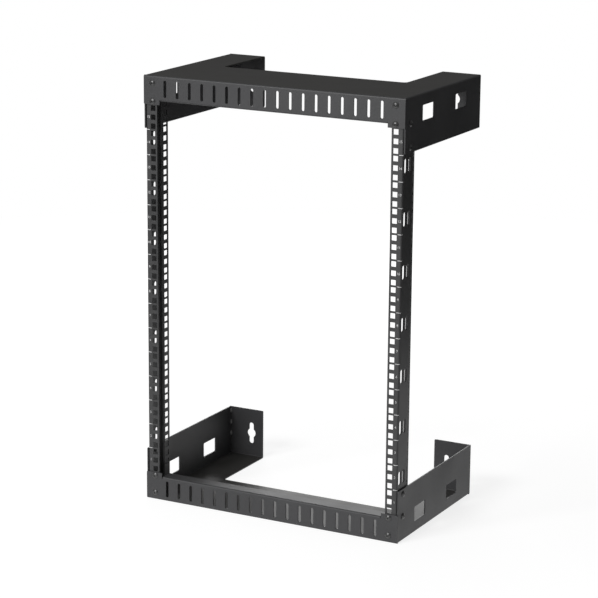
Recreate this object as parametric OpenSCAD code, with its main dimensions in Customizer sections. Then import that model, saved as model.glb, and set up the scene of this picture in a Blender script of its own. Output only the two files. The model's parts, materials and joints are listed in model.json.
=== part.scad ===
// Two post open frame rack: two folded sheet brackets, one at the floor and one
// at the top, joined by two folded posts with equipment holes.
// +X is the right-hand side seen from the front, +Y runs back to the wall, +Z is up.
// The origin is on the floor, under the middle of the frame.

/* [Rack units] */
// Number of rack units between the brackets
rack_units = 15; // [9:1:24]
// Height of one rack unit
unit_h = 44.45; // [43.5:0.05:46]
// Distance between neighbouring holes of one unit
unit_hole_step = 15.875; // [14:0.125:16]
// Distance between the two columns of equipment holes
column_span = 465.1; // [463:0.1:468]
// Distance from a column's middle to the inner edge of its front rail
rail_inner_margin = 7.55; // [6.5:0.05:9]
// Distance from a column's middle to the outer face of its post
rail_outer_margin = 14.45; // [13:0.05:20]
// Side of the square equipment holes
square_hole = 9.5; // [8:0.1:10.5]

/* [Sheet] */
// Thickness of the folded steel sheet
sheet_t = 2; // [1.5:0.1:2.5]
// Inside radius of every fold
fold_inner_r = 1; // [0.6:0.1:1.4]

/* [Brackets] */
// Depth of a bracket from its front face to the wall
bracket_d = 304.8; // [280:0.2:400]
// Height of the corner plates at the front
corner_plate_h = 50.8; // [48:0.1:60]
// Width of a corner plate
corner_plate_w = 31.5; // [26:0.5:34]
// Height of the slotted strip between the corner plates
strip_h = 44.45; // [42:0.05:46]
// Depth of the lip behind the strip
lip_d = 25; // [12:0.5:35]
// Width of the relief cut at each end of the lip's fold
relief_w = 1.5; // [1:0.1:2.5]
// Height of the cheeks and of the wall flanges
cheek_h = 93.4; // [90:0.1:110]
// Depth of the full-width part of the deck
deck_front_d = 152.4; // [120:0.2:180]
// Width of the two deck arms that reach back to the wall
arm_w = 71.4; // [66:0.1:80]
// Radius in the two inner corners of the deck's notch
notch_r = 8; // [3:0.5:20]
// Radius on the free corners of the cheeks and flanges
free_corner_r = 2; // [1:0.5:4]

/* [Cheek windows] */
// Length of a window, front to back
window_l = 44; // [30:0.5:55]
// Height of a window
window_h = 26.5; // [18:0.5:32]
// Radius in the window's corners
window_r = 2; // [1:0.5:5]
// Height of the window's outer edge above the deck's outer face
window_z = 20.5; // [14:0.5:28]
// Distance from the front face to the front window
window_y = 68; // [64:0.5:76]
// Distance from one window to the next
window_pitch = 132; // [100:1:140]

/* [Wall keyholes] */
// Distance from a keyhole's middle to the outside of the cheek beside it
keyhole_inset = 46.8; // [40:0.1:54]
// Height of the keyholes above the deck's outer face
keyhole_z = 46.7; // [42:0.1:56]
// Diameter of the keyhole's round middle
keyhole_round_d = 17.4; // [14:0.2:20]
// Width of the keyhole's slot
keyhole_slot_w = 9.5; // [7:0.1:11]
// Length of the keyhole from end to end
keyhole_l = 40.8; // [34:0.2:50]

/* [Strip slots] */
// Least distance from a corner plate to the middle of the nearest slot
strip_slot_margin = 10; // [6:0.5:30]
// Distance between the slots
strip_slot_pitch = 24.4; // [12:0.1:40]
// Width of a slot
strip_slot_w = 5.5; // [4.5:0.1:8]
// Length of a slot
strip_slot_l = 30; // [16:0.5:32]

/* [Posts] */
// Depth of the post's side web
post_d = 40; // [36:0.5:50]
// Width of the step at the rear of the post
step_w = 9; // [8:0.5:12]
// Depth of the flange behind the step
rear_flange_d = 18; // [16:0.5:19.5]
// Depth of the openings in the rear flange
rear_hole_d = 12; // [6:0.5:12]
// Space between the ends of a post and the decks
post_end_gap = 1; // [1:0.1:1.5]
// Space between a post's web and the cheek beside it
post_side_gap = 1; // [0.2:0.1:1.5]
// Least distance from the top or bottom of the frame to the middle of the nearest slot pair
web_slot_margin = 110; // [100:1:160]
// Distance between the slot pairs
web_slot_pitch = 90; // [40:0.5:120]
// Width of a web slot
web_slot_w = 9; // [6:0.1:10]
// Length of a web slot
web_slot_l = 25; // [12:0.5:30]
// Distance from the post's front face to its front row of slots
web_slot_front = 9.5; // [9:0.1:11]
// Distance between the front and the rear row of slots
web_slot_row_gap = 15.5; // [13:0.1:16]

/* [Assembly screws] */
// Clearance hole in the brackets
screw_clear_d = 6.6; // [5.4:0.1:7.5]
// Tapped hole in the posts
screw_tap_d = 5.1; // [4:0.1:5.3]
// Height of the first front screw above the deck's outer face
front_screw_z = 12.7; // [10:0.1:15]
// Distance between the two front screws
front_screw_gap = 31.75; // [24:0.05:32]
// Distance from the front face to the side screws
side_screw_y = 21; // [16:0.5:26]
// Height of the first side screw above the deck's outer face
side_screw_z = 44.45; // [38:0.05:48]
// Distance between the two side screws
side_screw_gap = 40; // [30:0.5:40]

/* [Weld tacks] */
// Tacks in each vertical corner
tacks = 3; // [1:1:3]
// Height of the first tack above the deck's outer face
tack_z = 40.5; // [20:0.5:42]
// Distance between the tacks
tack_pitch = 22.5; // [16:0.5:23]
// Radius of a tack
tack_r = 2.8; // [1.5:0.1:4]
// Length of a tack between its round ends
tack_l = 4; // [1:0.5:6]

/* [Hidden] */
$fn = 48;

// Colours of the powder coat, a shade apart so that the folded panels read
bracket_colour = [0.21, 0.21, 0.22];
deck_colour = [0.17, 0.17, 0.17];
post_colour = [0.25, 0.25, 0.26];
weld_colour = [0.40, 0.40, 0.40];

// How far a cutting tool reaches past the sheet on each side
cut = 1;

fold_outer_r = fold_inner_r + sheet_t;
frame_h = rack_units * unit_h + 2 * corner_plate_h;

// A post stands behind the strip, around its column of holes
column_x = column_span / 2;
rail_inner_x = column_x - rail_inner_margin;
post_side_x = column_x + rail_outer_margin;
post_front_y = sheet_t;
post_rear_y = post_front_y + post_d;
post_bottom_z = sheet_t + post_end_gap;
post_h = frame_h - 2 * post_bottom_z;
rear_flange_x = post_side_x - step_w;
rear_flange_end_y = post_rear_y + rear_flange_d;
rear_hole_y = post_rear_y + rear_flange_d / 2;

// The cheeks of a bracket stand outside the posts
half_w = post_side_x + post_side_gap + sheet_t;
bracket_w = 2 * half_w;
strip_half = half_w - corner_plate_w;
notch_half = half_w - arm_w;
deck_arm_y = deck_front_d + notch_r;

unit_hole_heights = [
    for (unit = [0 : rack_units - 1])
        for (step = [-1 : 1])
            corner_plate_h + (unit + 0.5) * unit_h + step * unit_hole_step
];
front_screw_heights = [front_screw_z, front_screw_z + front_screw_gap];
side_screw_heights = [side_screw_z, side_screw_z + side_screw_gap];

// Rows of slots, centred on the strip and on the web
strip_slots = floor(2 * (strip_half - strip_slot_margin) / strip_slot_pitch) + 1;
web_slot_pairs = floor((frame_h - 2 * web_slot_margin) / web_slot_pitch) + 1;

// ---- Placing: pieces are drawn for the bottom right corner, y from the front face ----

// Moves a piece drawn from the front face into the frame's own axes
module from_front() {
    translate([0, -bracket_d / 2, 0]) children();
}

// Turns a bottom right piece over to the other side
module on_side(side) {
    if (side == "left") mirror([1, 0, 0]) children();
    else children();
}

// Turns a bottom piece over to the top bracket
module on_bracket(level) {
    if (level == "top") translate([0, 0, frame_h]) mirror([0, 0, 1]) children();
    else children();
}

// ---- Shapes that repeat ----

// A quarter fold about the z axis, from +x to +y
module quarter_fold(length) {
    intersection() {
        difference() {
            cylinder(r = fold_outer_r, h = length);
            translate([0, 0, -cut]) cylinder(r = fold_inner_r, h = length + 2 * cut);
        }
        cube([fold_outer_r + cut, fold_outer_r + cut, length]);
    }
}

// A fold that runs along +x, with the sheet's outer corner at the origin
module fold_along_x(length) {
    translate([0, fold_outer_r, fold_outer_r])
        rotate([0, 90, 0])
            rotate([0, 0, -90])
                quarter_fold(length);
}

// A slot with round ends, through +z, long in y and centred
module slot_cutter(width, length, depth) {
    straight = length - width;
    translate([-width / 2, -straight / 2, 0]) cube([width, straight, depth]);
    for (end = [-1, 1]) translate([0, end * straight / 2, 0]) cylinder(d = width, h = depth);
}

// A rectangle with round corners, through +z, from its corner at the origin
module rounded_cutter(length, width, radius, depth) {
    translate([radius, 0, 0]) cube([length - 2 * radius, width, depth]);
    translate([0, radius, 0]) cube([length, width - 2 * radius, depth]);
    for (x = [radius, length - radius])
        for (y = [radius, width - radius])
            translate([x, y, 0]) cylinder(r = radius, h = depth);
}

// Turns a cutter that runs along z so that it runs back through a front panel at x, z
module through_front(x, y, z) {
    translate([x, y + sheet_t + cut, z]) rotate([90, 0, 0]) children();
}

// Turns a cutter that runs along z so that it runs out through a side panel at y, z
module through_side(x, y, z) {
    translate([x - cut, y, z]) rotate([90, 0, 90]) children();
}

// What is cut away to round a panel's corner at the origin, with the panel in -x, -y
module corner_trim(radius, depth) {
    difference() {
        translate([-radius, -radius, 0]) cube([radius + cut, radius + cut, depth]);
        translate([-radius, -radius, -cut]) cylinder(r = radius, h = depth + 2 * cut);
    }
}

cut_depth = sheet_t + 2 * cut;

// ---- Brackets ----

// The deck is flat between its folds, down to the round corners of its rear notch
module deck_sheet() {
    color(deck_colour)
        difference() {
            translate([-(half_w - fold_outer_r), fold_outer_r, 0])
                cube([2 * (half_w - fold_outer_r), deck_arm_y - fold_outer_r, sheet_t]);
            translate([-notch_half, deck_front_d, -cut])
                rounded_cutter(2 * notch_half, bracket_d, notch_r, cut_depth);
        }
}

// An arm carries the deck on to the wall flange, beside the notch
module deck_arm_sheet() {
    color(deck_colour)
        translate([notch_half, deck_arm_y, 0])
            cube([arm_w - fold_outer_r, bracket_d - fold_outer_r - deck_arm_y, sheet_t]);
}

// The front strip with its row of slots, its fold to the deck and its two corner plates
module front_strip_sheet() {
    color(bracket_colour)
        difference() {
            union() {
                translate([-half_w, 0, 0]) fold_along_x(bracket_w);
                translate([-half_w, 0, fold_outer_r])
                    cube([bracket_w, sheet_t, strip_h - 2 * fold_outer_r]);
                for (side = [-1, 1])
                    translate([side * (half_w - corner_plate_w / 2) - corner_plate_w / 2, 0, fold_outer_r])
                        cube([corner_plate_w, sheet_t, corner_plate_h - fold_outer_r]);
                translate([-strip_half + relief_w, 0, strip_h])
                    mirror([0, 0, 1])
                        fold_along_x(2 * (strip_half - relief_w));
            }
            for (slot = [0 : strip_slots - 1])
                through_front((slot - (strip_slots - 1) / 2) * strip_slot_pitch, 0, strip_h / 2)
                    slot_cutter(strip_slot_w, strip_slot_l, cut_depth);
            for (side = [-1, 1])
                for (z = front_screw_heights)
                    through_front(side * column_x, 0, z)
                        cylinder(d = screw_clear_d, h = cut_depth);
            for (side = ["left", "right"])
                on_side(side)
                    through_front(half_w, 0, corner_plate_h)
                        corner_trim(free_corner_r, cut_depth);
        }
}

// The lip stiffens the strip and turns back over the deck
module front_lip_sheet() {
    lip_half = strip_half - relief_w;
    color(bracket_colour)
        translate([-lip_half, fold_outer_r, strip_h - sheet_t])
            cube([2 * lip_half, lip_d - fold_outer_r, sheet_t]);
}

// A cheek with its fold to the deck, its two windows and its side screw holes
module cheek_sheet() {
    color(bracket_colour)
        difference() {
            union() {
                translate([half_w - sheet_t, sheet_t, fold_outer_r])
                    cube([sheet_t, bracket_d - 2 * sheet_t, cheek_h - fold_outer_r]);
                translate([half_w, fold_outer_r, 0])
                    rotate([0, 0, 90])
                        fold_along_x(bracket_d - 2 * fold_outer_r);
            }
            for (window = [0, 1])
                through_side(half_w - sheet_t, window_y + window * window_pitch, window_z)
                    rounded_cutter(window_l, window_h, window_r, cut_depth);
            for (z = side_screw_heights)
                through_side(half_w - sheet_t, side_screw_y, z)
                    cylinder(d = screw_clear_d, h = cut_depth);
            through_side(half_w - sheet_t, sheet_t, cheek_h)
                mirror([1, 0, 0])
                    corner_trim(free_corner_r, cut_depth);
        }
}

// A wall flange with its fold to the deck's arm and its double keyhole
module wall_flange_sheet() {
    color(bracket_colour)
        difference() {
            union() {
                translate([notch_half, bracket_d - sheet_t, fold_outer_r])
                    cube([arm_w, sheet_t, cheek_h - fold_outer_r]);
                translate([notch_half, bracket_d, 0])
                    mirror([0, 1, 0])
                        fold_along_x(arm_w);
            }
            through_front(half_w - keyhole_inset, bracket_d - sheet_t, keyhole_z) {
                slot_cutter(keyhole_slot_w, keyhole_l, cut_depth);
                cylinder(d = keyhole_round_d, h = cut_depth);
            }
            through_front(notch_half, bracket_d - sheet_t, cheek_h)
                mirror([1, 0, 0])
                    corner_trim(free_corner_r, cut_depth);
        }
}

// The tacks that close the inside corner between a cheek and its wall flange
module weld_tack_row() {
    color(weld_colour)
        for (tack = [0 : tacks - 1])
            translate([half_w - sheet_t, bracket_d - sheet_t, tack_z + tack * tack_pitch])
                intersection() {
                    union() {
                        translate([0, 0, -tack_l / 2]) cylinder(r = tack_r, h = tack_l);
                        for (end = [-1, 1]) translate([0, 0, end * tack_l / 2]) sphere(r = tack_r);
                    }
                    translate([-tack_r - cut, -tack_r - cut, -tack_l / 2 - tack_r - cut])
                        cube([tack_r + cut, tack_r + cut, tack_l + 2 * (tack_r + cut)]);
                }
}

// ---- Posts ----

// The front rail carries the square equipment holes and folds round to the web
module front_rail_sheet() {
    color(post_colour)
        difference() {
            union() {
                translate([rail_inner_x, post_front_y, post_bottom_z])
                    cube([post_side_x - fold_outer_r - rail_inner_x, sheet_t, post_h]);
                translate([post_side_x - fold_outer_r, post_front_y + fold_outer_r, post_bottom_z])
                    mirror([0, 1, 0])
                        quarter_fold(post_h);
            }
            for (z = unit_hole_heights)
                translate([column_x - square_hole / 2, post_front_y - cut, z - square_hole / 2])
                    cube([square_hole, cut_depth, square_hole]);
            for (z = concat(front_screw_heights, [for (z = front_screw_heights) frame_h - z]))
                through_front(column_x, post_front_y, z)
                    cylinder(d = screw_tap_d, h = cut_depth);
        }
}

// The web is the post's side, with pairs of vertical slots
module post_web_sheet() {
    color(post_colour)
        difference() {
            translate([post_side_x - sheet_t, post_front_y + fold_outer_r, post_bottom_z])
                cube([sheet_t, post_d - 2 * fold_outer_r, post_h]);
            for (pair = [0 : web_slot_pairs - 1])
                for (row = [0, 1])
                    through_side(
                        post_side_x - sheet_t,
                        post_front_y + web_slot_front + row * web_slot_row_gap,
                        frame_h / 2 + (pair - (web_slot_pairs - 1) / 2) * web_slot_pitch
                    )
                        slot_cutter(web_slot_w, web_slot_l, cut_depth);
            for (z = concat(side_screw_heights, [for (z = side_screw_heights) frame_h - z]))
                through_side(post_side_x - sheet_t, side_screw_y, z)
                    cylinder(d = screw_tap_d, h = cut_depth);
        }
}

// The step turns in behind the web and out again to the rear flange
module rear_step_sheet() {
    color(post_colour) {
        translate([rear_flange_x + fold_outer_r, post_rear_y - sheet_t, post_bottom_z])
            cube([step_w - 2 * fold_outer_r, sheet_t, post_h]);
        translate([post_side_x - fold_outer_r, post_rear_y - fold_outer_r, post_bottom_z])
            quarter_fold(post_h);
        translate([rear_flange_x + fold_outer_r, post_rear_y - sheet_t + fold_outer_r, post_bottom_z])
            rotate([0, 0, 180])
                quarter_fold(post_h);
    }
}

// The rear flange has an opening behind each equipment hole
module rear_flange_sheet() {
    color(post_colour)
        difference() {
            translate([rear_flange_x, post_rear_y + fold_inner_r, post_bottom_z])
                cube([sheet_t, rear_flange_d - fold_inner_r, post_h]);
            for (z = unit_hole_heights)
                translate([rear_flange_x - cut, rear_hole_y - rear_hole_d / 2, z - square_hole / 2])
                    cube([cut_depth, rear_hole_d, square_hole]);
        }
}

// ---- Nodes ----

module bracket_piece(level, side = "right") {
    from_front() on_bracket(level) on_side(side) children();
}

module post_piece(side) {
    from_front() on_side(side) children();
}

module bottom_deck() { bracket_piece("bottom") deck_sheet(); }
module bottom_left_deck_arm() { bracket_piece("bottom", "left") deck_arm_sheet(); }
module bottom_right_deck_arm() { bracket_piece("bottom", "right") deck_arm_sheet(); }
module bottom_front_strip() { bracket_piece("bottom") front_strip_sheet(); }
module bottom_front_lip() { bracket_piece("bottom") front_lip_sheet(); }
module bottom_left_cheek() { bracket_piece("bottom", "left") cheek_sheet(); }
module bottom_right_cheek() { bracket_piece("bottom", "right") cheek_sheet(); }
module bottom_left_wall_flange() { bracket_piece("bottom", "left") wall_flange_sheet(); }
module bottom_right_wall_flange() { bracket_piece("bottom", "right") wall_flange_sheet(); }
module bottom_left_weld_tacks() { bracket_piece("bottom", "left") weld_tack_row(); }
module bottom_right_weld_tacks() { bracket_piece("bottom", "right") weld_tack_row(); }
module top_deck() { bracket_piece("top") deck_sheet(); }
module top_left_deck_arm() { bracket_piece("top", "left") deck_arm_sheet(); }
module top_right_deck_arm() { bracket_piece("top", "right") deck_arm_sheet(); }
module top_front_strip() { bracket_piece("top") front_strip_sheet(); }
module top_front_lip() { bracket_piece("top") front_lip_sheet(); }
module top_left_cheek() { bracket_piece("top", "left") cheek_sheet(); }
module top_right_cheek() { bracket_piece("top", "right") cheek_sheet(); }
module top_left_wall_flange() { bracket_piece("top", "left") wall_flange_sheet(); }
module top_right_wall_flange() { bracket_piece("top", "right") wall_flange_sheet(); }
module top_left_weld_tacks() { bracket_piece("top", "left") weld_tack_row(); }
module top_right_weld_tacks() { bracket_piece("top", "right") weld_tack_row(); }
module left_post_front_rail() { post_piece("left") front_rail_sheet(); }
module left_post_web() { post_piece("left") post_web_sheet(); }
module left_post_rear_step() { post_piece("left") rear_step_sheet(); }
module left_post_rear_flange() { post_piece("left") rear_flange_sheet(); }
module right_post_front_rail() { post_piece("right") front_rail_sheet(); }
module right_post_web() { post_piece("right") post_web_sheet(); }
module right_post_rear_step() { post_piece("right") rear_step_sheet(); }
module right_post_rear_flange() { post_piece("right") rear_flange_sheet(); }

bottom_deck();
bottom_left_deck_arm();
bottom_right_deck_arm();
bottom_front_strip();
bottom_front_lip();
bottom_left_cheek();
bottom_right_cheek();
bottom_left_wall_flange();
bottom_right_wall_flange();
bottom_left_weld_tacks();
bottom_right_weld_tacks();
top_deck();
top_left_deck_arm();
top_right_deck_arm();
top_front_strip();
top_front_lip();
top_left_cheek();
top_right_cheek();
top_left_wall_flange();
top_right_wall_flange();
top_left_weld_tacks();
top_right_weld_tacks();
left_post_front_rail();
left_post_web();
left_post_rear_step();
left_post_rear_flange();
right_post_front_rail();
right_post_web();
right_post_rear_step();
right_post_rear_flange();
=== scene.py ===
# %% [markdown]
# # A two post open frame rack
#
# This rack carries 15 units of equipment between two posts, on a floor or on a wall. It is
# folded from steel sheet and coated in fine black powder. The folded sheets, with all their
# holes, arrive finished as the fixed frame, so this lesson doesn't model them. It adds what
# the sheets don't carry: the coat, the sixteen screws that hold the posts in the brackets,
# and the printed unit marks. Then it sets up a plain studio to look at the rack in.

# %% Load the frame
import json
import math

import bmesh
import bpy
from mathutils import Matrix, Vector


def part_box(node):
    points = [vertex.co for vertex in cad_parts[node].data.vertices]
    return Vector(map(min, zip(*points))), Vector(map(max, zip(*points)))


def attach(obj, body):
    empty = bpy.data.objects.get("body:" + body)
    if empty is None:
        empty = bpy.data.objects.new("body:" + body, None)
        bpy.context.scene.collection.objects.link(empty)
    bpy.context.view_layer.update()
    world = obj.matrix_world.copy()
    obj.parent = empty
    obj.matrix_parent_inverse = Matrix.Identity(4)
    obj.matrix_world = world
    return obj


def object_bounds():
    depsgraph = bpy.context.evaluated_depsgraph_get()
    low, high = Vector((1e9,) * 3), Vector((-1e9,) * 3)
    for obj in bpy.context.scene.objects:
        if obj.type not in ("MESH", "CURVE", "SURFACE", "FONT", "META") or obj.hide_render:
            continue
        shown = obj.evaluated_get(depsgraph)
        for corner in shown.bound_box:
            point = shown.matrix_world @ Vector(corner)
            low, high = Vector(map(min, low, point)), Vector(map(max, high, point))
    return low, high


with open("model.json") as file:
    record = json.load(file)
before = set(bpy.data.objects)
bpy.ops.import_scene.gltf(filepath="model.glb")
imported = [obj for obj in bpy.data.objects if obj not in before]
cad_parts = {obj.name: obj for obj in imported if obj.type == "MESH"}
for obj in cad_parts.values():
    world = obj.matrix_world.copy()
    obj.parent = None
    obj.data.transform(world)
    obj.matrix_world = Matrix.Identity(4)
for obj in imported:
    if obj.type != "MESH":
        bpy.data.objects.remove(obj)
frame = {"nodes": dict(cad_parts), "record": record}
cad_low, cad_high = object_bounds()
rack_middle = (cad_low + cad_high) / 2
scene = bpy.context.scene
MM = 0.001
rack_size = [round(v / MM, 1) for v in cad_high - cad_low]
print("frame of", len(frame["nodes"]), "sheets, size in mm:", rack_size)

# %% [markdown]
# ## The camera
#
# A tall rack is pictured with a long lens from a few metres away, so that its posts stay
# almost parallel. A camera could be placed by hand and turned until the view fits. Here its
# place is worked out from two angles, a distance and the point that it looks at, because
# those four are easy to think about and to change one at a time.

# %% Camera
CAMERA_AZIMUTH = math.radians(27.874)
CAMERA_ELEVATION = math.radians(14.085)
CAMERA_ROLL = math.radians(0.478)
CAMERA_DISTANCE = 4.120
LENS = 140.02
SENSOR = 36
AIM_RIGHT = -0.0199
AIM_UP = -0.0159
AIM_BACK = -0.0024


def make_camera():
    """Puts a camera at the far end of a line that leaves the rack at the two angles."""
    back = Vector((
        math.sin(CAMERA_AZIMUTH) * math.cos(CAMERA_ELEVATION),
        -math.cos(CAMERA_AZIMUTH) * math.cos(CAMERA_ELEVATION),
        math.sin(CAMERA_ELEVATION),
    ))
    right = Vector((math.cos(CAMERA_AZIMUTH), math.sin(CAMERA_AZIMUTH), 0))
    up = back.cross(right)
    data = bpy.data.cameras.new("studio_camera")
    data.lens = LENS
    data.sensor_width = SENSOR
    camera = bpy.data.objects.new("studio_camera", data)
    scene.collection.objects.link(camera)
    aim = rack_middle + right * AIM_RIGHT + up * AIM_UP + Vector((0, AIM_BACK, 0))
    rolled_right = math.cos(CAMERA_ROLL) * right + math.sin(CAMERA_ROLL) * up
    rolled_up = math.cos(CAMERA_ROLL) * up - math.sin(CAMERA_ROLL) * right
    turn = Matrix((rolled_right, rolled_up, back)).transposed().to_4x4()
    camera.matrix_world = Matrix.Translation(aim + back * CAMERA_DISTANCE) @ turn
    scene.camera = camera
    return camera


camera = make_camera()
print("camera stands at", [round(v, 3) for v in camera.location])

# %% [markdown]
# ## Helpers for node trees
#
# Materials and Geometry Nodes are both trees of nodes joined by links. Written out in full,
# each node takes four or five lines, and the shape of the tree gets lost. Two small helpers
# keep it readable: `add` makes a node and feeds its inputs, where an input is either a
# plain value or the output of another node, and `calc` does the same for a bit of maths.
# `rescale`, `noise` and `new_material` are short names for what the finishes share.

# %% Node helpers
def add(tree, kind, inputs=None, **settings):
    """Adds a node, sets its own settings, and feeds its inputs with values or links."""
    node = tree.nodes.new(kind)
    for name, value in settings.items():
        setattr(node, name, value)
    for key, value in (inputs or {}).items():
        if isinstance(value, bpy.types.NodeSocket):
            tree.links.new(value, node.inputs[key])
        else:
            node.inputs[key].default_value = value
    return node


def calc(tree, operation, *values):
    """One step of maths on plain numbers or outputs, and its result."""
    return add(tree, "ShaderNodeMath", dict(enumerate(values)), operation=operation).outputs[0]


def rescale(tree, value, from_span, to_span):
    """Carries a span of values over to another span."""
    return add(tree, "ShaderNodeMapRange", {
        "Value": value,
        "From Min": from_span[0],
        "From Max": from_span[1],
        "To Min": to_span[0],
        "To Max": to_span[1],
    }).outputs["Result"]


def noise(tree, per_metre, detail):
    """A value round one half that wanders over the piece."""
    place = add(tree, "ShaderNodeTexCoord").outputs["Object"]
    inputs = {"Vector": place, "Scale": per_metre, "Detail": detail}
    return add(tree, "ShaderNodeTexNoise", inputs).outputs["Fac"]


def new_material(name):
    """A material, its tree and its main shader."""
    material = bpy.data.materials.new(name)
    material.use_nodes = True
    tree = material.node_tree
    return material, tree, tree.nodes["Principled BSDF"]


print("node helpers ready")

# %% [markdown]
# ## The powder coat
#
# The steel is sprayed with dry powder and baked. The powder melts into a thin, tough skin
# that is black, half matt and finely pebbled, and a little thicker in some places than in
# others. A single flat black would look like a hole in the picture. So the colour drifts
# slowly over a hand's width, single grains speckle it, and the same grains lift the surface
# as a bump. All of it reads object coordinates, so it runs on across the folds from one
# sheet to the next. The gloss is set on the shader's own socket, since it is the same
# all over.

# %% Powder coat
DRIFT_PER_METRE = 9.0
DRIFT_DETAIL = 3.0
DRIFT_SPAN = (0.3, 0.7)
SHADE_DRIFT = (0.88, 1.12)
ROUGHNESS_DRIFT = 0.05
GRAIN_PER_METRE = 1400.0
GRAIN_DETAIL = 2.0
GRAIN_SPAN = (0.25, 0.75)
SPECKLE = (0.8, 1.2)
GRAIN_HEIGHT = 0.05 * MM
PEBBLE_STRENGTH = 0.25


def powder_coat(name, colour, roughness, gloss):
    """A fine black coat, uneven in shade and pebbled."""
    material, tree, shader = new_material(name)
    shader.inputs["Specular IOR Level"].default_value = gloss
    drift = noise(tree, DRIFT_PER_METRE, DRIFT_DETAIL)
    grain = noise(tree, GRAIN_PER_METRE, GRAIN_DETAIL)
    shade = rescale(tree, drift, DRIFT_SPAN, SHADE_DRIFT)
    speckle = rescale(tree, grain, GRAIN_SPAN, SPECKLE)
    strength = calc(tree, "MULTIPLY", shade, speckle)
    paint = add(tree, "ShaderNodeVectorMath", {0: colour, "Scale": strength}, operation="SCALE")
    tree.links.new(paint.outputs["Vector"], shader.inputs["Base Color"])
    rough_span = (roughness - ROUGHNESS_DRIFT, roughness + ROUGHNESS_DRIFT)
    tree.links.new(rescale(tree, drift, DRIFT_SPAN, rough_span), shader.inputs["Roughness"])
    pebble = add(tree, "ShaderNodeBump", {
        "Height": grain, "Strength": PEBBLE_STRENGTH, "Distance": GRAIN_HEIGHT,
    })
    tree.links.new(pebble.outputs["Normal"], shader.inputs["Normal"])
    return material


coats = {
    "bracket_coat": powder_coat("bracket_powder", (0.040, 0.040, 0.042), 0.50, 0.5),
    # the decks get the same coat painted darker and warmer: painted shade on the up-facing panels
    "deck_coat": powder_coat("deck_powder_painted_shade", (0.034, 0.033, 0.031), 0.55, 0.45),
    "post_coat": powder_coat("post_powder", (0.040, 0.040, 0.041), 0.50, 0.5),
    "weld_bead": powder_coat("weld_powder", (0.12, 0.12, 0.12), 0.38, 0.6),
}
coat_of_sheet = {part["node"]: part["material_slot"] for part in frame["record"]["subparts"]}
for name, sheet in frame["nodes"].items():
    sheet.data.materials.clear()
    sheet.data.materials.append(coats[coat_of_sheet[name]])
print(len(frame["nodes"]), "sheets coated with", len(coats), "coats")

# %% [markdown]
# ## The screw finish and the ink
#
# The screws are steel with a black oxide skin, smoother than the powder, so their heads
# catch small bright lights. The unit marks are a pale ink, printed on the coat. Ink on a
# pebbled coat is never quite solid, so a fine noise thins its colour here and there.

# %% Screw and ink materials
SKIN_PER_METRE = 900.0
SKIN_DETAIL = 3.0
SKIN_SPAN = (0.3, 0.7)
SCREW_SHADE = (0.06, 0.10)
SCREW_ROUGHNESS = (0.30, 0.42)
SCREW_METALLIC = 0.6
SCREW_GLOSS = 0.6
INK_SPAN = (0.3, 0.6)
INK_SHADE = (0.45, 0.8)
INK_ROUGHNESS = 0.6


def black_oxide():
    """Blackened steel, smoother and glossier than the powder coat."""
    material, tree, shader = new_material("black_oxide_steel")
    shader.inputs["Metallic"].default_value = SCREW_METALLIC
    shader.inputs["Specular IOR Level"].default_value = SCREW_GLOSS
    skin = noise(tree, SKIN_PER_METRE, SKIN_DETAIL)
    tree.links.new(rescale(tree, skin, SKIN_SPAN, SCREW_SHADE), shader.inputs["Base Color"])
    tree.links.new(rescale(tree, skin, SKIN_SPAN, SCREW_ROUGHNESS), shader.inputs["Roughness"])
    return material


def mark_ink():
    """Pale ink that the grain of the coat breaks up a little."""
    material, tree, shader = new_material("mark_ink")
    shader.inputs["Roughness"].default_value = INK_ROUGHNESS
    patches = noise(tree, GRAIN_PER_METRE, GRAIN_DETAIL)
    tree.links.new(rescale(tree, patches, INK_SPAN, INK_SHADE), shader.inputs["Base Color"])
    return material


screw_finish = black_oxide()
ink = mark_ink()
print("made", screw_finish.name, "and", ink.name)

# %% [markdown]
# ## The assembly screws
#
# Sixteen M6 screws hold the posts in the brackets: two through each corner plate at the
# front and two through each cheek at the side. Each has a low round head with a cross
# recess, and a threaded shank that comes out behind the sheet. One screw could be modelled
# and copied by hand. Geometry Nodes make it from its sizes instead and put one on every
# seat, so a change of size changes all sixteen. The head is a disc whose top is lifted
# into a dome, with the cross cut out of it. The shank is a cylinder whose wall goes in and
# out along a helix.

# %% Tree inputs and ends
def new_tree(name, sizes):
    """A Geometry Nodes tree with one named length for each size, and a material."""
    tree = bpy.data.node_groups.new(name, "GeometryNodeTree")
    tree.interface.new_socket("Geometry", in_out="OUTPUT", socket_type="NodeSocketGeometry")
    tree.interface.new_socket("Geometry", in_out="INPUT", socket_type="NodeSocketGeometry")
    for size in sizes:
        tree.interface.new_socket(size, in_out="INPUT", socket_type="NodeSocketFloat")
    tree.interface.new_socket("Finish", in_out="INPUT", socket_type="NodeSocketMaterial")
    given = tree.nodes.new("NodeGroupInput").outputs
    return tree, given


def end_tree(tree, given, geometry):
    """Realizes the instances, sets the material and ends the tree."""
    real = add(tree, "GeometryNodeRealizeInstances", {"Geometry": geometry}).outputs["Geometry"]
    coated = add(tree, "GeometryNodeSetMaterial", {"Geometry": real, "Material": given["Finish"]})
    end = tree.nodes.new("NodeGroupOutput")
    tree.links.new(coated.outputs["Geometry"], end.inputs[0])


print("every tree ends in real meshes with their finish")

# %% [markdown]
# A tree only lives on a modifier. `grow` runs it on a piece, keeps the result as a plain mesh
# and takes the modifier off again. `close_up` merges doubled corners and turns all faces
# outward, because rolled, bent and cut shapes can leave some of them the wrong way round.

# %% From tree to plain mesh
MERGE_DISTANCE = 0.001 * MM


def close_up(work, mesh):
    """Merges doubled corners, turns the faces outward and fills the mesh."""
    bmesh.ops.remove_doubles(work, verts=work.verts, dist=MERGE_DISTANCE)
    bmesh.ops.recalc_face_normals(work, faces=work.faces)
    work.to_mesh(mesh)
    work.free()


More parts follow.
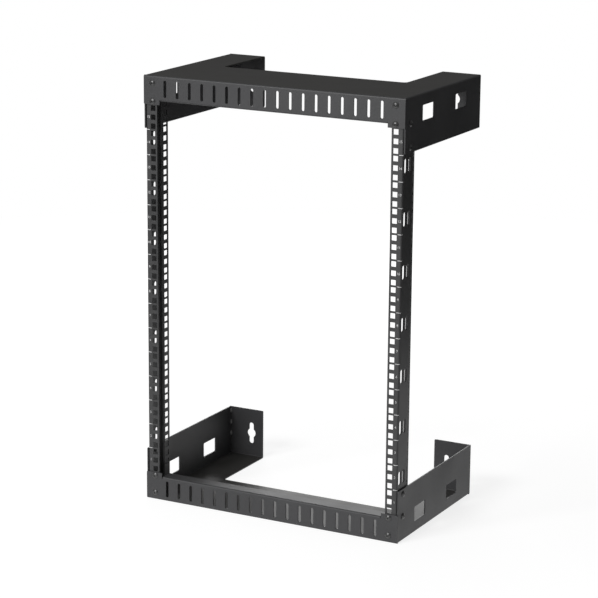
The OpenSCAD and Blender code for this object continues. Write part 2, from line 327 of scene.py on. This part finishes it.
def grow(piece, tree, sizes, finish):
    """Runs a tree on a piece and keeps the result as the piece's plain mesh."""
    modifier = piece.modifiers.new(tree.name, "NODES")
    modifier.node_group = tree
    values = {**sizes, "Finish": finish}
    for item in tree.interface.items_tree:
        if item.in_out == "INPUT" and item.name in values:
            modifier[item.identifier] = values[item.name]
    evaluated = piece.evaluated_get(bpy.context.evaluated_depsgraph_get())
    mesh = bpy.data.meshes.new_from_object(evaluated)
    piece.modifiers.remove(modifier)
    piece.data = mesh
    work = bmesh.new()
    work.from_mesh(mesh)
    close_up(work, mesh)


def points_piece(name, points, outward=None):
    """An object with one loose point at each place, for a tree to grow on."""
    mesh = bpy.data.meshes.new(name)
    mesh.from_pydata(points, [], [])
    if outward:
        directions = mesh.attributes.new("outward", "FLOAT_VECTOR", "POINT")
        directions.data.foreach_set("vector", [value for direction in outward for value in direction])
    piece = bpy.data.objects.new(name, mesh)
    scene.collection.objects.link(piece)
    return piece


print("corners closer than", MERGE_DISTANCE, "m are merged")

# %% [markdown]
# The dome, the cross and the thread each get a short function, so that the tree reads in
# the order in which a screw is made: turn the head, press the recess, roll the thread.

# %% Screw head
SCREW = {
    "Head Diameter": 11.0 * MM,
    "Rim Height": 0.7 * MM,
    "Dome Height": 2.3 * MM,
    "Recess Span": 5.6 * MM,
    "Recess Width": 1.15 * MM,
    "Recess Depth": 1.9 * MM,
    "Thread Diameter": 5.9 * MM,
    "Thread Depth": 0.55 * MM,
    "Thread Pitch": 1.0 * MM,
    "Shank Length": 10.0 * MM,
}
HEAD_SIDES = 32
HEAD_RINGS = 6
DOME_FULLNESS = 2.2
ACROSS = (1, 1, 0)


def along_z(tree, height):
    """A vector that points up by a height."""
    return add(tree, "ShaderNodeCombineXYZ", {"Z": height}).outputs[0]


def screw_head(tree, given):
    """A disc whose top is lifted into a dome, highest in the middle."""
    radius = calc(tree, "MULTIPLY", given["Head Diameter"], 0.5)
    disc = add(tree, "GeometryNodeMeshCylinder", {
        "Vertices": HEAD_SIDES, "Side Segments": 1, "Fill Segments": HEAD_RINGS,
        "Radius": radius, "Depth": given["Rim Height"],
    }, fill_type="TRIANGLE_FAN").outputs["Mesh"]
    place = add(tree, "GeometryNodeInputPosition").outputs[0]
    parts = add(tree, "ShaderNodeSeparateXYZ", {0: place}).outputs
    flat = add(tree, "ShaderNodeVectorMath", {0: place, 1: ACROSS}, operation="MULTIPLY").outputs[0]
    reach = add(tree, "ShaderNodeVectorMath", {0: flat}, operation="LENGTH").outputs["Value"]
    share = calc(tree, "POWER", calc(tree, "DIVIDE", reach, radius), DOME_FULLNESS)
    lift = calc(tree, "MULTIPLY", given["Dome Height"], calc(tree, "SUBTRACT", 1.0, share))
    on_top = calc(tree, "GREATER_THAN", parts["Z"], 0.0)
    offset = along_z(tree, calc(tree, "MULTIPLY", lift, on_top))
    dome = add(tree, "GeometryNodeSetPosition", {"Geometry": disc, "Offset": offset}).outputs["Geometry"]
    seat = along_z(tree, calc(tree, "MULTIPLY", given["Rim Height"], 0.5))
    return add(tree, "GeometryNodeTransform", {"Geometry": dome, "Translation": seat}).outputs["Geometry"]


print("screw head of", HEAD_SIDES, "sides, M6, in mm:", round(SCREW["Head Diameter"] / MM, 1))

# %% [markdown]
# The cross recess is pressed in by a blade that narrows towards its point. One blade is made
# from a cube whose lower corners move inward, and its copy stands across it.

# %% Cross recess
RECESS_TAPER = (-0.62, -0.35, 0)
QUARTER_TURN = math.pi / 2


def cross_recess(tree, given, head):
    """Two crossing blades, narrow at the bottom, cut out of the head's top."""
    top = calc(tree, "ADD", given["Rim Height"], given["Dome Height"])
    depth = calc(tree, "MULTIPLY", given["Recess Depth"], 2.0)
    size = add(tree, "ShaderNodeCombineXYZ", {
        "X": given["Recess Span"], "Y": given["Recess Width"], "Z": depth,
    }).outputs[0]
    blade = add(tree, "GeometryNodeMeshCube", {"Size": size}).outputs["Mesh"]
    place = add(tree, "GeometryNodeInputPosition").outputs[0]
    height = add(tree, "ShaderNodeSeparateXYZ", {0: place}).outputs["Z"]
    below = calc(tree, "LESS_THAN", height, 0.0)
    inward = add(tree, "ShaderNodeVectorMath", {0: place, 1: RECESS_TAPER}, operation="MULTIPLY").outputs[0]
    tapered = add(tree, "GeometryNodeSetPosition", {
        "Geometry": blade, "Selection": below, "Offset": inward,
    }).outputs["Geometry"]
    cut = add(tree, "GeometryNodeMeshBoolean", {"Mesh 1": head}, operation="DIFFERENCE", solver="EXACT")
    for turn in (0, QUARTER_TURN):
        cutter = add(tree, "GeometryNodeTransform", {
            "Geometry": tapered, "Translation": along_z(tree, top), "Rotation": (0, 0, turn),
        }).outputs["Geometry"]
        tree.links.new(cutter, cut.inputs["Mesh 2"])
    return cut.outputs["Mesh"]


print("a cross recess", round(SCREW["Recess Depth"] / MM, 1), "mm deep")

# %% [markdown]
# The thread is rolled, so its crest and root are round. A sine wave does that: its phase
# grows with the height and falls with the angle round the shank, which makes the crest climb
# one pitch on each turn.

# %% Threaded shank
SHANK_SIDES = 20
ROWS_PER_TURN = 4.0


def threaded_shank(tree, given):
    """A cylinder whose wall goes out and in along a helix."""
    radius = calc(tree, "MULTIPLY", given["Thread Diameter"], 0.5)
    turns = calc(tree, "DIVIDE", given["Shank Length"], given["Thread Pitch"])
    rows = add(tree, "FunctionNodeFloatToInt", {0: calc(tree, "MULTIPLY", turns, ROWS_PER_TURN)}).outputs[0]
    rod = add(tree, "GeometryNodeMeshCylinder", {
        "Vertices": SHANK_SIDES, "Side Segments": rows, "Fill Segments": 1,
        "Radius": radius, "Depth": given["Shank Length"],
    }, fill_type="NGON").outputs["Mesh"]
    place = add(tree, "GeometryNodeInputPosition").outputs[0]
    parts = add(tree, "ShaderNodeSeparateXYZ", {0: place}).outputs
    climb = calc(tree, "MULTIPLY", calc(tree, "DIVIDE", parts["Z"], given["Thread Pitch"]), math.tau)
    around = calc(tree, "ARCTAN2", parts["Y"], parts["X"])
    wave = calc(tree, "SINE", calc(tree, "SUBTRACT", climb, around))
    half_depth = calc(tree, "MULTIPLY", given["Thread Depth"], 0.5)
    inward = calc(tree, "MULTIPLY", calc(tree, "SUBTRACT", wave, 1.0), half_depth)
    flat = add(tree, "ShaderNodeVectorMath", {0: place, 1: ACROSS}, operation="MULTIPLY").outputs[0]
    out = add(tree, "ShaderNodeVectorMath", {0: flat}, operation="NORMALIZE").outputs[0]
    offset = add(tree, "ShaderNodeVectorMath", {0: out, "Scale": inward}, operation="SCALE").outputs["Vector"]
    thread = add(tree, "GeometryNodeSetPosition", {"Geometry": rod, "Offset": offset}).outputs["Geometry"]
    down = along_z(tree, calc(tree, "MULTIPLY", given["Shank Length"], -0.5))
    return add(tree, "GeometryNodeTransform", {"Geometry": thread, "Translation": down}).outputs["Geometry"]


print("a shank of", round(SCREW["Shank Length"] / SCREW["Thread Pitch"]), "turns of thread")

# %% [markdown]
# Head and shank are joined and put on every point, standing along the point's own outward
# direction. Each screw stops at another angle when it is driven home, so a random turn with a
# fixed seed twists it.

# %% Screw tree
TWIST_SEED = 5


def screw_tree():
    """One screw on every point, standing along the point's outward direction."""
    tree, given = new_tree("assembly_screw", SCREW)
    head = cross_recess(tree, given, screw_head(tree, given))
    one = add(tree, "GeometryNodeJoinGeometry")
    for part in (threaded_shank(tree, given), head):
        tree.links.new(part, one.inputs[0])
    outward = add(tree, "GeometryNodeInputNamedAttribute", {"Name": "outward"}, data_type="FLOAT_VECTOR")
    stand = add(tree, "FunctionNodeAlignRotationToVector", {"Vector": outward.outputs["Attribute"]}, axis="Z")
    placed = add(tree, "GeometryNodeInstanceOnPoints", {
        "Points": given["Geometry"], "Instance": one.outputs[0], "Rotation": stand.outputs[0],
    }).outputs["Instances"]
    twist = add(tree, "FunctionNodeRandomValue", {
        "Max": (0, 0, QUARTER_TURN), "Seed": TWIST_SEED,
    }, data_type="FLOAT_VECTOR").outputs["Value"]
    turned = add(tree, "GeometryNodeRotateInstances", {"Instances": placed, "Rotation": twist})
    end_tree(tree, given, turned.outputs["Instances"])
    return tree


print("screw tree has", len(screw_tree().nodes), "nodes")

# %% [markdown]
# The seats come from the frame: the corner plates' front face, the cheeks' outer face and
# the top and bottom of the rack, each with the screw's distance from the nearest edge.

# %% Screws in their seats
COLUMN_SPAN = 465.1 * MM
FRONT_SCREW_HEIGHTS = (12.7 * MM, 44.45 * MM)
SIDE_SCREW_HEIGHTS = (44.45 * MM, 84.45 * MM)
SIDE_SCREW_DEPTH = 21 * MM
SHADE_ANGLE = math.radians(35)
plate_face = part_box("bottom_front_strip")[0][1]
cheek_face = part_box("bottom_right_cheek")[1][0]


def both_ends(height):
    """A height above the floor, and the same distance below the rack's top."""
    return (cad_low.z + height, cad_high.z - height)


def make_screws():
    """The front screws look forwards and the side screws look out to their side."""
    seats = []
    directions = []
    for side in (-1, 1):
        for height in FRONT_SCREW_HEIGHTS:
            for z in both_ends(height):
                seats.append((side * COLUMN_SPAN / 2, plate_face, z))
                directions.append((0, -1, 0))
        for height in SIDE_SCREW_HEIGHTS:
            for z in both_ends(height):
                seats.append((side * cheek_face, plate_face + SIDE_SCREW_DEPTH, z))
                directions.append((side, 0, 0))
    screws = points_piece("assembly_screws", seats, directions)
    grow(screws, bpy.data.node_groups["assembly_screw"], SCREW, screw_finish)
    screws.data.shade_smooth()
    screws.data.set_sharp_from_angle(angle=SHADE_ANGLE)
    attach(screws, "root")
    return screws


screws = make_screws()
print("screws:", len(screws.data.polygons), "faces")

# %% [markdown]
# ## The unit marks
#
# A line on the rail's face shows where one rack unit ends and the next begins, and a number
# stands beside the middle hole of each unit. The line runs from beside the holes to the
# post's corner and a little way round its fold. A flat strip would stand off the fold, so
# Geometry Nodes bend it: the strip's length is measured along the sheet, and past the start
# of the fold that length turns into an angle. One line is made and repeated up the post.

# %% Unit line tree
LINE = {
    "Start": 239.3 * MM,
    "Flat End": 244.0 * MM,
    "Fold Radius": 3.0 * MM,
    "Length": 8.6 * MM,
    "Width": 1.0 * MM,
    "Ink Film": 0.05 * MM,
    "Side": 1.0,
}
LINE_STEPS = 25


def bend_round_post(tree, given, place):
    """Lays a long thin box on the rail's face and on round the post's fold."""
    parts = add(tree, "ShaderNodeSeparateXYZ", {0: place}).outputs
    along = calc(tree, "ADD", parts["X"], calc(tree, "MULTIPLY", given["Length"], 0.5))
    proud = calc(tree, "SUBTRACT", calc(tree, "MULTIPLY", given["Ink Film"], 0.5), parts["Y"])
    flat = calc(tree, "SUBTRACT", given["Flat End"], given["Start"])
    past = calc(tree, "MAXIMUM", calc(tree, "SUBTRACT", along, flat), 0.0)
    angle = calc(tree, "DIVIDE", past, given["Fold Radius"])
    reach = calc(tree, "ADD", given["Fold Radius"], proud)
    straight = calc(tree, "ADD", calc(tree, "MINIMUM", along, flat), given["Start"])
    across = calc(tree, "MULTIPLY", calc(tree, "SINE", angle), reach)
    forward = calc(tree, "MULTIPLY", calc(tree, "COSINE", angle), reach)
    x = calc(tree, "ADD", straight, across)
    y = calc(tree, "SUBTRACT", given["Fold Radius"], forward)
    sided = calc(tree, "MULTIPLY", x, given["Side"])
    return add(tree, "ShaderNodeCombineXYZ", {"X": sided, "Y": y, "Z": parts["Z"]}).outputs[0]


def line_tree():
    """One bent line of ink on every point."""
    tree, given = new_tree("unit_line", LINE)
    size = add(tree, "ShaderNodeCombineXYZ", {
        "X": given["Length"], "Y": given["Ink Film"], "Z": given["Width"],
    }).outputs[0]
    strip = add(tree, "GeometryNodeMeshCube", {
        "Size": size, "Vertices X": LINE_STEPS, "Vertices Y": 2, "Vertices Z": 2,
    }).outputs["Mesh"]
    place = add(tree, "GeometryNodeInputPosition").outputs[0]
    bent = bend_round_post(tree, given, place)
    line = add(tree, "GeometryNodeSetPosition", {"Geometry": strip, "Position": bent}).outputs["Geometry"]
    rows = add(tree, "GeometryNodeInstanceOnPoints", {"Points": given["Geometry"], "Instance": line})
    end_tree(tree, given, rows.outputs["Instances"])
    return tree


print("unit line tree has", len(line_tree().nodes), "nodes")

# %% [markdown]
# The rail's face comes from the frame. The first unit starts where the lower bracket ends,
# and a line between every two units makes fourteen on each post.

# %% Unit lines on both posts
UNIT = 44.45 * MM
UNITS = 15
FIRST_UNIT_BOTTOM = 50.8 * MM
rail_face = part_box("right_post_front_rail")[0][1]


def make_unit_lines(side_name, side):
    """A line between every two units, from the bottom of the post to its top."""
    heights = [cad_low.z + FIRST_UNIT_BOTTOM + unit * UNIT for unit in range(1, UNITS)]
    lines = points_piece(side_name + "_unit_lines", [(0, rail_face, height) for height in heights])
    grow(lines, bpy.data.node_groups["unit_line"], {**LINE, "Side": side}, ink)
    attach(lines, "root")
    return lines


for side_name, side in (("left", -1.0), ("right", 1.0)):
    lines = make_unit_lines(side_name, side)
    print(lines.name, len(lines.data.polygons), "faces")

# %% [markdown]
# The numbers count the units from the floor up. Blender's text objects draw plain digits
# with the built-in font. Each number is turned into a mesh while it still lies at the
# origin, then it is stood up against the rail, and all thirty are joined into one print.

# %% Unit numbers
DIGIT_SIZE = 6.0 * MM
DIGIT_FILM = 0.05 * MM
DIGIT_CURVE_STEPS = 3
NUMBER_X = 242.0 * MM


def number_mesh(number):
    """A number as a thin closed mesh, centred on the origin and facing up."""
    text = bpy.data.curves.new("unit_number", "FONT")
    text.body = str(number)
    text.size = DIGIT_SIZE
    text.extrude = DIGIT_FILM / 2
    text.resolution_u = DIGIT_CURVE_STEPS
    text.align_x = "CENTER"
    text.align_y = "CENTER"
    holder = bpy.data.objects.new("unit_number", text)
    mesh = bpy.data.meshes.new_from_object(holder)
    bpy.data.objects.remove(holder)
    bpy.data.curves.remove(text)
    return mesh


def make_unit_numbers():
    """Numbers from 1 at the bottom to 15 at the top, on the face of both rails."""
    work = bmesh.new()
    stand_up = Matrix.Rotation(math.pi / 2, 4, "X")
    for side in (-1, 1):
        for unit in range(UNITS):
            mesh = number_mesh(unit + 1)
            height = cad_low.z + FIRST_UNIT_BOTTOM + (unit + 0.5) * UNIT
            spot = Matrix.Translation((side * NUMBER_X, rail_face - DIGIT_FILM / 2, height))
            mesh.transform(spot @ stand_up)
            work.from_mesh(mesh)
            bpy.data.meshes.remove(mesh)
    print_mesh = bpy.data.meshes.new("unit_numbers")
    close_up(work, print_mesh)
    print_mesh.materials.append(ink)
    numbers = bpy.data.objects.new("unit_numbers", print_mesh)
    scene.collection.objects.link(numbers)
    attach(numbers, "root")
    return numbers


numbers = make_unit_numbers()
print("numbers:", len(numbers.data.polygons), "faces")

# %% [markdown]
# ## The studio
#
# The rack stands on a white sweep under soft lamps. Two things make it look like a product
# picture. The camera sees plain white all round, which comes from the floor's and the air's
# own glow to camera rays and not from more light on the black coat. And the floor glows to
# reflected rays close to the rack only, a painted pool of light that the coat mirrors, as if
# the room beyond it were dark: so the sheets near the floor look lighter than those at the
# top. The floor keeps a share of its own shading, and that share carries the rack's soft
# shadow.

# %% Floor
SWEEP_COLOUR = (0.85, 0.85, 0.85, 1)
SWEEP_ROUGHNESS = 0.9
SWEEP_HALF = 8.0
SHADE_SHARE = 0.38
SHADE_SPAN = (0.5, 2.5)
CAMERA_GLOW = 1.30
# the distances from the rack over which the painted pool of light fades out
POOL_RIM = (0.95, 1.35)


def ray_kinds(tree):
    """Two outputs: one on camera rays, the other on rays that a coat or glass sends on."""
    path = add(tree, "ShaderNodeLightPath").outputs
    return path["Is Camera Ray"], calc(tree, "MAXIMUM", path["Is Glossy Ray"], path["Is Transmission Ray"])


def floor_finish():
    """A white sweep that carries a soft shadow, and a painted pool of light near the rack that only
    reflections see.
    """
    material, tree, matt = new_material("studio_floor")
    matt.inputs["Base Color"].default_value = SWEEP_COLOUR
    matt.inputs["Roughness"].default_value = SWEEP_ROUGHNESS
    place = add(tree, "ShaderNodeTexCoord").outputs["Object"]
    distance = add(tree, "ShaderNodeVectorMath", {0: place}, operation="LENGTH").outputs["Value"]
    seen, mirrored = ray_kinds(tree)
    seen_share = rescale(tree, distance, SHADE_SPAN, (1 - SHADE_SHARE, 1.0))
    seen_glow = rescale(tree, distance, SHADE_SPAN, (CAMERA_GLOW, 1.0))
    # painted pool of light: the floor glows to reflected rays only, strongest near the rack
    painted_pool = calc(tree, "MULTIPLY", mirrored, rescale(tree, distance, POOL_RIM, (1.0, 0.0)))
    strength = calc(tree, "ADD", calc(tree, "MULTIPLY", seen, seen_glow), painted_pool)
    glow = add(tree, "ShaderNodeEmission", {"Strength": strength})
    share = calc(tree, "ADD", calc(tree, "MULTIPLY", seen, seen_share), mirrored)
    mix = add(tree, "ShaderNodeMixShader", {0: share, 1: matt.outputs[0], 2: glow.outputs[0]})
    tree.links.new(mix.outputs[0], tree.nodes["Material Output"].inputs["Surface"])
    return material


def make_floor():
    """A wide flat floor under the rack."""
    half = SWEEP_HALF
    corners = [(-half, -half, 0), (half, -half, 0), (half, half, 0), (-half, half, 0)]
    mesh = bpy.data.meshes.new("studio_floor")
    mesh.from_pydata(corners, [], [(0, 1, 2, 3)])
    mesh.materials.append(floor_finish())
    floor = bpy.data.objects.new("studio_floor", mesh)
    scene.collection.objects.link(floor)


make_floor()
print("the floor reaches", SWEEP_HALF, "m each way")

# %% [markdown]
# The air is the world round the floor. It gives a weak light from all sides, which keeps the
# inner faces from going black, and shows plain white where the camera looks past the rack.

# %% Air
WHITE = (1, 1, 1, 1)
AIR_LIGHT = 0.18
AIR_GLOSS_SHARE = 0.03


def make_air():
    """Soft light from all round, and plain white where the camera looks past the rack."""
    world = bpy.data.worlds.new("studio_air")
    scene.world = world
    world.use_nodes = True
    tree = world.node_tree
    soft = tree.nodes["Background"]
    soft.inputs["Color"].default_value = WHITE
    soft.inputs["Strength"].default_value = AIR_LIGHT
    white = add(tree, "ShaderNodeBackground", {"Color": WHITE, "Strength": 1.0})
    seen, mirrored = ray_kinds(tree)
    share = calc(tree, "ADD", seen, calc(tree, "MULTIPLY", mirrored, AIR_GLOSS_SHARE))
    mix = add(tree, "ShaderNodeMixShader", {0: share, 1: soft.outputs[0], 2: white.outputs[0]})
    tree.links.new(mix.outputs[0], tree.nodes["World Output"].inputs["Surface"])


make_air()
print("air light", AIR_LIGHT, "and white to the camera")

# %% [markdown]
# Three soft lamps light the rack. A large one high in front lights the faces of the strips
# and rails, and a weaker one below it fills in. One low behind at the left stands in for
# the lit sweep there, which shines along the lip and the lower deck.

# %% Lamps
def make_softbox(name, place, target, width, height, power):
    """A rectangular area lamp that faces a point."""
    data = bpy.data.lights.new(name, "AREA")
    data.shape = "RECTANGLE"
    data.size = width
    data.size_y = height
    data.energy = power
    lamp = bpy.data.objects.new(name, data)
    scene.collection.objects.link(lamp)
    lamp.location = place
    lamp.rotation_euler = (Vector(target) - Vector(place)).to_track_quat("-Z", "Y").to_euler()


make_softbox("high_front_box", (-0.7, -2.6, 2.2), rack_middle, width=1.6, height=0.8, power=66)
make_softbox("low_front_box", (-0.7, -2.6, 0.6), rack_middle, width=1.6, height=0.8, power=13)
make_softbox("back_left_box", (-1.0, 2.2, 0.35), (0, 0, 0.05), width=1.6, height=0.5, power=30)
scene.view_settings.view_transform = "Standard"
print("three lamps are on")
